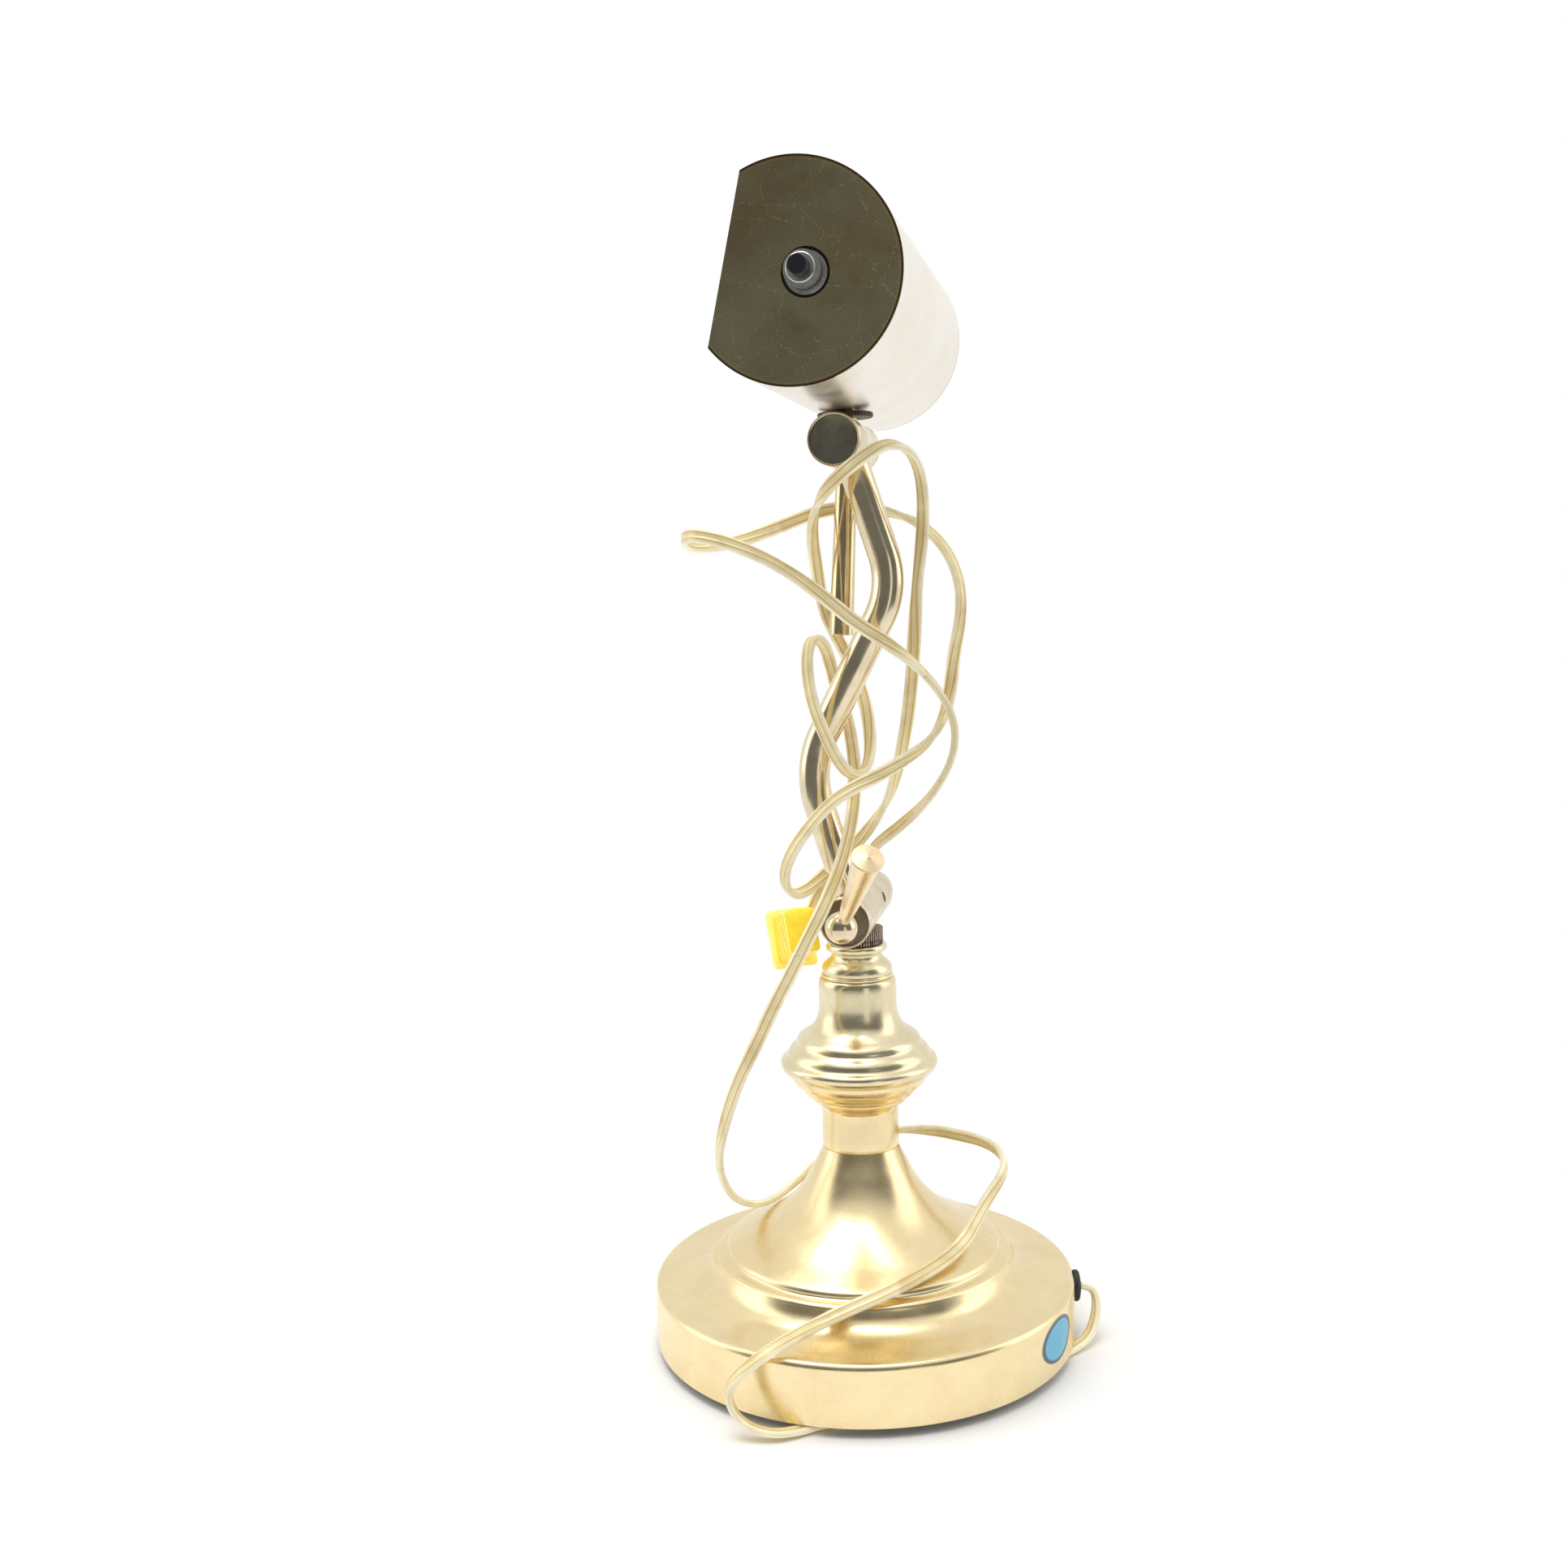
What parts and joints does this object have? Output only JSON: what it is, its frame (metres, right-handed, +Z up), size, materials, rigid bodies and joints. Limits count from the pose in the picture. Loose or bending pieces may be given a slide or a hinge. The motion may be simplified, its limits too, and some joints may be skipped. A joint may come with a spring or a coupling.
{
  "type": "picture light",
  "caption": "Adjustable brass table light: a round weighted base and vase stem carry a bent arm on two tilting knuckles and a half-round trough shade, with a wrapped supply cord and plug.",
  "frame": {"origin": "centre of the felt pad's underside, on the surface the light stands on", "axes": "+Z up along the stem; the knuckle barrels, the shade and its lamp lie along Y; the turn switch is at the shade's -Y end; the arm bows toward -X then back over the base"},
  "size_m": [0.1886, 0.1996, 0.4679],
  "materials": {
    "brass_satin": "satin, lacquered, slightly tarnished",
    "brass_base": "polished, fine speckle",
    "brass_shade": "satin",
    "brass_mirror": "polished",
    "brass_raw": "plain turned",
    "ring_black": "knurled, blackened",
    "shaft_black": "moulded",
    "cap_matte": "matte",
    "nickel": "plated",
    "steel": "zinc plated",
    "iron": "as cast",
    "felt": "felt",
    "washer": "plain",
    "socket": "phenolic",
    "glass": "clear",
    "grommet": "moulded",
    "sticker": "printed film, blank",
    "plug": "translucent vinyl",
    "cord": "translucent vinyl",
    "leads": "insulated wire"
  },
  "bodies": {
    "stand": {"felt_pad": "felt", "bottom_plate": "steel", "base_shell": "brass_base", "base_weight": "iron", "lamp_pipe": "steel", "pipe_nut": "steel", "cord_grommet": "grommet", "blank_sticker": "sticker", "stem_collar": "brass_base", "stem_vase": "brass_base", "neck_ring": "brass_base", "lead_base": "leads", "cord_floor_run": "cord", "cord_base_wrap": "cord"},
    "lower_ring": {"lower_lock_ring": "ring_black"},
    "stem_head": {"stem_knuckle": "brass_satin", "saddle_washer": "brass_satin", "grub_screw": "steel", "rear_cap_lower": "brass_satin", "friction_washer_lower": "washer", "plug_body": "plug", "plug_blades": "brass_raw"},
    "clamp": {"clamp_bolt": "steel", "clamp_ball": "brass_mirror", "clamp_lever": "brass_satin", "lever_cap": "cap_matte"},
    "arm": {"arm_tube": "brass_satin", "arm_knuckle_lower": "brass_satin", "arm_knuckle_upper": "brass_satin", "knuckle_face_cap": "brass_mirror", "friction_washer_upper": "washer", "lead_arm": "leads", "cord_rise": "cord", "cord_small_loop": "cord", "cord_right_strand": "cord", "cord_left_loop": "cord", "cord_right_loop": "cord", "cord_back_strand": "cord", "cord_front_strand": "cord", "cord_plug_end": "cord"},
    "shade_head": {"shade_knuckle": "brass_satin", "rear_cap_upper": "brass_satin", "pivot_bolt_upper": "steel", "pivot_nut_upper": "brass_mirror", "tail_handle": "brass_satin", "head_post": "brass_mirror"},
    "upper_ring": {"upper_lock_ring": "ring_black"},
    "shade": {"shade_shell": "brass_shade", "end_cap_near": "brass_mirror", "end_cap_far": "brass_mirror", "switch_bush": "nickel", "lamp_socket": "socket", "bulb_cap": "brass_raw", "bulb_glass": "glass", "post_nut": "brass_raw", "shade_strap": "steel", "lead_head": "leads"},
    "switch_knob": {"switch_shaft": "shaft_black"}
  },
  "joints": [
    {"name": "stem_swivel", "type": "hinge", "parent": "stand", "child": "stem_head", "pos_m": [0, 0, 0.166], "axis": [0, 0, 1], "range_deg": [-150, 150], "deforming": ["cord_rise", "cord_plug_end"]},
    {"name": "lower_ring_turn", "type": "hinge", "parent": "stand", "child": "lower_ring", "pos_m": [0, 0, 0.1728], "axis": [0, 0, 1], "range_deg": [0, 180]},
    {"name": "clamp_lever_turn", "type": "hinge", "parent": "stem_head", "child": "clamp", "pos_m": [0, -0.0345, 0.1854], "axis": [0, 1, 0], "range_deg": [-60, 30]},
    {"name": "arm_tilt", "type": "hinge", "parent": "stem_head", "child": "arm", "pos_m": [0, -0.0124, 0.1854], "axis": [0, 1, 0], "range_deg": [-75, 75], "deforming": ["cord_rise", "cord_small_loop", "cord_right_strand", "cord_left_loop", "cord_right_loop", "cord_back_strand", "cord_front_strand", "cord_plug_end"]},
    {"name": "shade_tilt", "type": "hinge", "parent": "arm", "child": "shade_head", "pos_m": [0, -0.0124, 0.3768], "axis": [0, 1, 0], "range_deg": [-60, 60], "deforming": ["cord_small_loop", "cord_right_strand"]},
    {"name": "upper_ring_turn", "type": "hinge", "parent": "shade_head", "child": "upper_ring", "pos_m": [0, 0.002, 0.3883], "axis": [0, 0, 1], "range_deg": [0, 180]},
    {"name": "shade_swivel", "type": "hinge", "parent": "shade_head", "child": "shade", "pos_m": [0, 0.002, 0.391], "axis": [0, 0, 1], "range_deg": [-90, 90]},
    {"name": "switch_turn", "type": "hinge", "parent": "shade", "child": "switch_knob", "pos_m": [0.0032, -0.0966, 0.4283], "axis": [0, -1, 0], "continuous": true}
  ]
}
